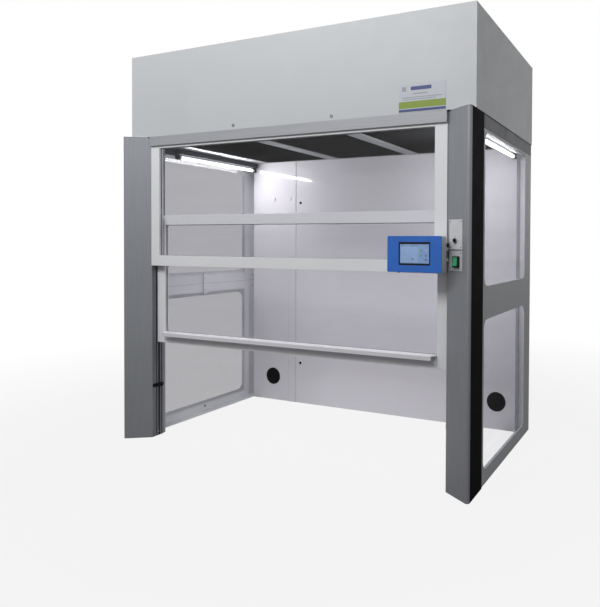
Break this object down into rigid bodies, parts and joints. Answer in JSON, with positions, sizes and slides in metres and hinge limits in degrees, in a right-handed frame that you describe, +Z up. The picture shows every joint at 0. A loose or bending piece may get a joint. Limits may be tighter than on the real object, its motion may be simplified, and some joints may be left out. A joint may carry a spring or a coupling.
{
  "type": "ductless fume hood",
  "caption": "Bench-top ductless fume hood: steel head with filters and fans, splayed aluminium posts, glazed sides, fixed upper window, counterbalanced sliding sash and swivelling display.",
  "frame": {"origin": "on the bench surface, under the middle of the outline", "axes": "+X to the user's right along the front, +Y to the back, +Z up"},
  "size_m": [1.6, 0.861, 1.67],
  "materials": {
    "head_paint": "satin",
    "shell_paint": "satin",
    "liner_paint": "satin",
    "ceiling_paint": "satin",
    "post_aluminium": "satin",
    "dark_beam": "satin",
    "lintel_aluminium": "brushed",
    "window_aluminium": "powder coated",
    "handle_aluminium": "satin",
    "black_plastic": "matte",
    "black_rubber": "matte",
    "clear_glass": "clear",
    "white_nylon": "matte",
    "zinc_steel": "galvanised",
    "filter_pad": "pleated",
    "filter_case": "matte",
    "lamp_tube": "frosted",
    "motor_case": "satin",
    "fan_plastic": "matte",
    "weight_iron": "painted",
    "cable_steel": "stranded",
    "bright_steel": "machined",
    "card": "printed fields",
    "display_grey": "satin",
    "display_blue": "satin",
    "screen": "gloss",
    "key_plate_grey": "satin",
    "switch_plate_grey": "satin",
    "rocker_green": "gloss"
  },
  "bodies": {
    "hood": {"housing_shell": "shell_paint", "front_panel": "head_paint", "panel_screws": "bright_steel", "label_card": "card", "front_beam": "dark_beam", "side_beams": "dark_beam", "lintel": "lintel_aluminium", "post_left": "post_aluminium", "post_right": "post_aluminium", "post_caps": "post_aluminium", "post_covers": "black_plastic", "sash_tracks": "black_plastic", "sash_stops": "black_plastic", "side_panel_left": "shell_paint", "side_panel_right": "shell_paint", "side_windows": "clear_glass", "pane_clips": "window_aluminium", "back_panel": "shell_paint", "liner_left": "liner_paint", "liner_main": "liner_paint", "liner_strip": "liner_paint", "liner_plugs": "white_nylon", "cable_ports": "black_rubber", "power_inlet": "black_plastic", "ceiling_frame": "ceiling_paint", "prefilters": "filter_pad", "filter_seals": "black_rubber", "carbon_filters": "filter_case", "lamp_bodies": "black_plastic", "lamp_tubes": "lamp_tube", "blower_deck": "zinc_steel", "fan_mounts": "motor_case", "exhaust_grilles": "black_plastic", "control_box": "motor_case", "window_frame": "window_aluminium", "window_glass": "clear_glass", "pulley_brackets": "dark_beam", "sash_cables": "cable_steel", "display_bracket": "black_plastic", "key_plate": "key_plate_grey", "key_collar": "dark_beam", "switch_plate": "switch_plate_grey", "rocker_bezel": "black_plastic"},
    "sash": {"sash_frame": "window_aluminium", "sash_glass": "clear_glass", "sash_handle": "handle_aluminium", "sash_shoes": "white_nylon"},
    "counterweight_left": {"counterweight_left": "weight_iron"},
    "counterweight_right": {"counterweight_right": "weight_iron"},
    "pulley_left": {"pulley_left": "bright_steel"},
    "pulley_right": {"pulley_right": "bright_steel"},
    "impeller_left": {"impeller_left": "fan_plastic"},
    "impeller_right": {"impeller_right": "fan_plastic"},
    "display": {"display_housing": "display_grey", "display_fascia": "display_blue", "display_bezel": "black_plastic", "display_screen": "screen"},
    "display_knob": {"display_knob": "black_plastic"},
    "key": {"key_rotor": "black_plastic"},
    "rocker": {"rocker": "rocker_green"}
  },
  "joints": [
    {"name": "sash_slide", "type": "slide", "parent": "hood", "child": "sash", "axis": [0, 0, 1], "range_m": [-0.182, 0.28], "deforming": ["sash_cables"]},
    {"name": "counterweight_left_slide", "type": "slide", "parent": "hood", "child": "counterweight_left", "axis": [0, 0, 1], "range_m": [-0.28, 0.182]},
    {"name": "counterweight_right_slide", "type": "slide", "parent": "hood", "child": "counterweight_right", "axis": [0, 0, 1], "range_m": [-0.28, 0.182]},
    {"name": "pulley_left_spin", "type": "hinge", "parent": "hood", "child": "pulley_left", "pos_m": [-0.742, -0.3205, 1.256], "axis": [0, 1, 0], "range_deg": [-684, 445]},
    {"name": "pulley_right_spin", "type": "hinge", "parent": "hood", "child": "pulley_right", "pos_m": [0.742, -0.3205, 1.256], "axis": [0, 1, 0], "range_deg": [-445, 684]},
    {"name": "impeller_left_spin", "type": "hinge", "parent": "hood", "child": "impeller_left", "pos_m": [-0.36, 0.0635, 1.5], "axis": [0, 0, 1], "continuous": true},
    {"name": "impeller_right_spin", "type": "hinge", "parent": "hood", "child": "impeller_right", "pos_m": [0.36, 0.0635, 1.5], "axis": [0, 0, 1], "continuous": true},
    {"name": "display_swivel", "type": "hinge", "parent": "hood", "child": "display", "pos_m": [0.699, -0.3755, 0.824], "axis": [0, 0, 1], "range_deg": [0, 45]},
    {"name": "display_knob_turn", "type": "hinge", "parent": "hood", "child": "display_knob", "pos_m": [0.699, -0.3755, 0.855], "axis": [0, 0, 1], "range_deg": [-120, 120]},
    {"name": "key_turn", "type": "hinge", "parent": "hood", "child": "key", "pos_m": [0.73562, -0.38717, 0.871], "axis": [-0.5343, -0.8453, 0], "range_deg": [0, 90]},
    {"name": "rocker_tilt", "type": "hinge", "parent": "hood", "child": "rocker", "pos_m": [0.74024, -0.39483, 0.7995], "axis": [0.8453, -0.5343, 0], "range_deg": [0, 16]}
  ],
  "couplings": [
    {"joint": "counterweight_left_slide", "follows": "sash_slide", "ratio": -1},
    {"joint": "counterweight_right_slide", "follows": "sash_slide", "ratio": -1},
    {"joint": "pulley_left_spin", "follows": "sash_slide", "rad_per_m": -42.553},
    {"joint": "pulley_right_spin", "follows": "sash_slide", "rad_per_m": 42.553}
  ]
}
